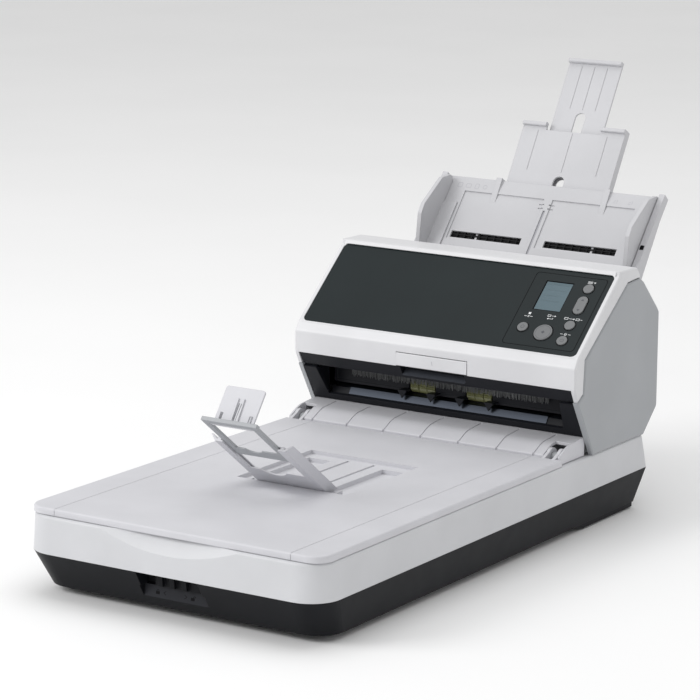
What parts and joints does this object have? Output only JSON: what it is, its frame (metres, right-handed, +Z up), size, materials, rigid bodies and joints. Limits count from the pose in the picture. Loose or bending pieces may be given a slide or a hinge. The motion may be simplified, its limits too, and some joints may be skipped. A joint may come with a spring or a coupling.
{
  "type": "sheet fed document scanner",
  "caption": "Flatbed document scanner with a sheet feeder over its rear end, a draw-out paper chute, a fold-up stacker on the lid and a sloping control panel.",
  "frame": {"origin": "on the table, under the middle of the overall box", "axes": "+X to the right seen from the front, +Y from the front edge to the rear where the paper chute stands, +Z up"},
  "size_m": [0.3, 0.725, 0.3945],
  "materials": {
    "tray_plastic": "fine grained",
    "foot_rubber": "matte",
    "steel": "satin",
    "shell_plastic": "fine grained",
    "lid_plastic": "fine grained",
    "white_plastic": "smooth",
    "side_plastic": "fine grained",
    "dark_plastic": "smooth",
    "panel_plastic": "satin",
    "button_plastic": "smooth",
    "screen_glass": "clear",
    "platen_glass": "clear",
    "roller_rubber": "matte",
    "clear_rubber": "satin",
    "belt_rubber": "matte",
    "board_green": "satin",
    "bright_metal": "satin",
    "white_foam": "matte",
    "frame_plastic": "matte",
    "brush_fibre": "fibrous",
    "chute_plastic": "fine grained"
  },
  "bodies": {
    "base": {"base_tray": "tray_plastic", "rubber_feet": "foot_rubber", "case_screws": "steel", "base_shell": "shell_plastic", "data_sockets": "steel", "power_inlet": "dark_plastic", "platen_frame": "frame_plastic", "platen_glass": "platen_glass", "guide_rod": "steel", "main_board": "board_green", "drive_belt": "belt_rubber", "carriage_motor": "steel", "ramp_cover": "lid_plastic", "adf_side_covers": "side_plastic", "adf_rear_cover": "side_plastic", "adf_chassis": "steel", "exit_bezel": "dark_plastic", "lower_paper_guide": "dark_plastic", "exit_plate": "bright_metal", "lower_scan_unit": "frame_plastic", "feed_motor": "steel", "feed_belts": "belt_rubber", "paper_chute": "chute_plastic"},
    "lock": {"transport_lock": "tray_plastic"},
    "carriage": {"carriage_frame": "frame_plastic", "carriage_sensor": "frame_plastic"},
    "idler": {"idler_pulley": "white_plastic"},
    "driver": {"drive_pulley": "white_plastic"},
    "lifter": {"hinge_posts": "side_plastic"},
    "lid": {"lid_top": "lid_plastic", "lid_tray": "lid_plastic", "document_pad": "white_foam", "hinge_pins": "steel"},
    "stacker": {"stacker_base": "lid_plastic"},
    "stacker_reach": {"stacker_extension": "side_plastic"},
    "stopper": {"stacker_stopper": "lid_plastic"},
    "pick": {"pick_roller": "roller_rubber"},
    "feed": {"feed_roller": "roller_rubber"},
    "eject": {"eject_roller": "roller_rubber"},
    "motor_wheel": {"motor_pulley": "white_plastic"},
    "cover": {"adf_cover": "white_plastic", "cover_trim": "dark_plastic", "front_panel": "panel_plastic", "lcd_screen": "screen_glass", "upper_paper_guide": "dark_plastic", "exit_brush": "brush_fibre", "upper_scan_unit": "frame_plastic"},
    "tab": {"release_tab": "white_plastic"},
    "menu": {"menu_button": "button_plastic"},
    "rocker": {"rocker_button": "button_plastic"},
    "stop": {"stop_button": "button_plastic"},
    "scan": {"scan_button": "button_plastic"},
    "manual": {"manual_feed_button": "button_plastic"},
    "power": {"power_button": "button_plastic"},
    "brake": {"brake_roller": "roller_rubber"},
    "pinch": {"pinch_roller": "clear_rubber"},
    "chute_reach": {"chute_extension": "chute_plastic"},
    "chute_tip": {"extension_tip": "chute_plastic"},
    "left_guide": {"left_side_guide": "chute_plastic"},
    "right_guide": {"right_side_guide": "chute_plastic"}
  },
  "joints": [
    {"name": "lid_lift", "type": "slide", "parent": "base", "child": "lifter", "axis": [0, 0, 1], "range_m": [0, 0.012]},
    {"name": "lid_open", "type": "hinge", "parent": "lifter", "child": "lid", "pos_m": [0, 0.04852, 0.075], "axis": [-1, 0, 0], "range_deg": [0, 78]},
    {"name": "stacker_fold", "type": "hinge", "parent": "lid", "child": "stacker", "pos_m": [0, -0.17226, 0.07439], "axis": [1, 0, 0], "range_deg": [-124, 0]},
    {"name": "stacker_extend", "type": "slide", "parent": "stacker", "child": "stacker_reach", "axis": [0, -0.8049, 0.5934], "range_m": [-0.036, 0]},
    {"name": "stopper_fold", "type": "hinge", "parent": "stacker_reach", "child": "stopper", "pos_m": [0, -0.26785, 0.1461], "axis": [1, 0, 0], "range_deg": [-88, 0]},
    {"name": "cover_open", "type": "hinge", "parent": "base", "child": "cover", "pos_m": [0, 0.17852, 0.219], "axis": [-1, 0, 0], "range_deg": [0, 50]},
    {"name": "release_pull", "type": "hinge", "parent": "cover", "child": "tab", "pos_m": [0, 0.05412, 0.1483], "axis": [-1, 0, 0], "range_deg": [0, 12], "stiffness_Nm_per_rad": 0.05},
    {"name": "menu_press", "type": "slide", "parent": "cover", "child": "menu", "axis": [0, 0.6428, -0.766], "range_m": [0, 0.001], "stiffness_N_per_m": 500},
    {"name": "stop_press", "type": "slide", "parent": "cover", "child": "stop", "axis": [0, 0.6428, -0.766], "range_m": [0, 0.001], "stiffness_N_per_m": 500},
    {"name": "scan_press", "type": "slide", "parent": "cover", "child": "scan", "axis": [0, 0.6428, -0.766], "range_m": [0, 0.001], "stiffness_N_per_m": 500},
    {"name": "manual_press", "type": "slide", "parent": "cover", "child": "manual", "axis": [0, 0.6428, -0.766], "range_m": [0, 0.001], "stiffness_N_per_m": 500},
    {"name": "power_press", "type": "slide", "parent": "cover", "child": "power", "axis": [0, 0.6428, -0.766], "range_m": [0, 0.001], "stiffness_N_per_m": 500},
    {"name": "rocker_tilt", "type": "hinge", "parent": "cover", "child": "rocker", "pos_m": [0, 0.10383, 0.2036], "axis": [1, 0, 0], "range_deg": [-3.5, 3.5], "stiffness_Nm_per_rad": 0.05},
    {"name": "feed_spin", "type": "hinge", "parent": "base", "child": "feed", "pos_m": [0, 0.14721, 0.11194], "axis": [1, 0, 0], "continuous": true},
    {"name": "pick_spin", "type": "hinge", "parent": "base", "child": "pick", "pos_m": [0, 0.19898, 0.16742], "axis": [1, 0, 0], "continuous": true},
    {"name": "eject_spin", "type": "hinge", "parent": "base", "child": "eject", "pos_m": [0, 0.09572, 0.0962], "axis": [1, 0, 0], "continuous": true},
    {"name": "motor_spin", "type": "hinge", "parent": "base", "child": "motor_wheel", "pos_m": [0, 0.18252, 0.105], "axis": [1, 0, 0], "continuous": true},
    {"name": "brake_spin", "type": "hinge", "parent": "cover", "child": "brake", "pos_m": [0, 0.18215, 0.1819], "axis": [1, 0, 0], "continuous": true},
    {"name": "pinch_spin", "type": "hinge", "parent": "cover", "child": "pinch", "pos_m": [0, 0.09572, 0.1104], "axis": [1, 0, 0], "continuous": true},
    {"name": "carriage_travel", "type": "slide", "parent": "base", "child": "carriage", "axis": [0, 1, 0], "range_m": [0, 0.295]},
    {"name": "drive_pulley_spin", "type": "hinge", "parent": "base", "child": "driver", "pos_m": [-0.095, 0.02152, 0.017], "axis": [0, 0, 1], "continuous": true},
    {"name": "idler_pulley_spin", "type": "hinge", "parent": "base", "child": "idler", "pos_m": [-0.095, -0.33048, 0.017], "axis": [0, 0, 1], "continuous": true},
    {"name": "lock_slide", "type": "slide", "parent": "base", "child": "lock", "axis": [1, 0, 0], "range_m": [-0.0105, 0]},
    {"name": "chute_extend", "type": "slide", "parent": "base", "child": "chute_reach", "axis": [0, 0.518, 0.8554], "range_m": [-0.044, 0]},
    {"name": "tip_extend", "type": "slide", "parent": "chute_reach", "child": "chute_tip", "axis": [0, 0.518, 0.8554], "range_m": [-0.062, 0]},
    {"name": "left_guide_slide", "type": "slide", "parent": "base", "child": "left_guide", "axis": [1, 0, 0], "range_m": [0, 0.048]},
    {"name": "right_guide_slide", "type": "slide", "parent": "base", "child": "right_guide", "axis": [-1, 0, 0], "range_m": [0, 0.048]}
  ],
  "couplings": [
    {"joint": "pick_spin", "follows": "feed_spin", "ratio": 1},
    {"joint": "eject_spin", "follows": "feed_spin", "ratio": 1.2963},
    {"joint": "motor_spin", "follows": "feed_spin", "ratio": 1.4},
    {"joint": "drive_pulley_spin", "follows": "carriage_travel", "rad_per_m": 144.93},
    {"joint": "idler_pulley_spin", "follows": "carriage_travel", "rad_per_m": 144.93},
    {"joint": "right_guide_slide", "follows": "left_guide_slide", "ratio": 1}
  ]
}
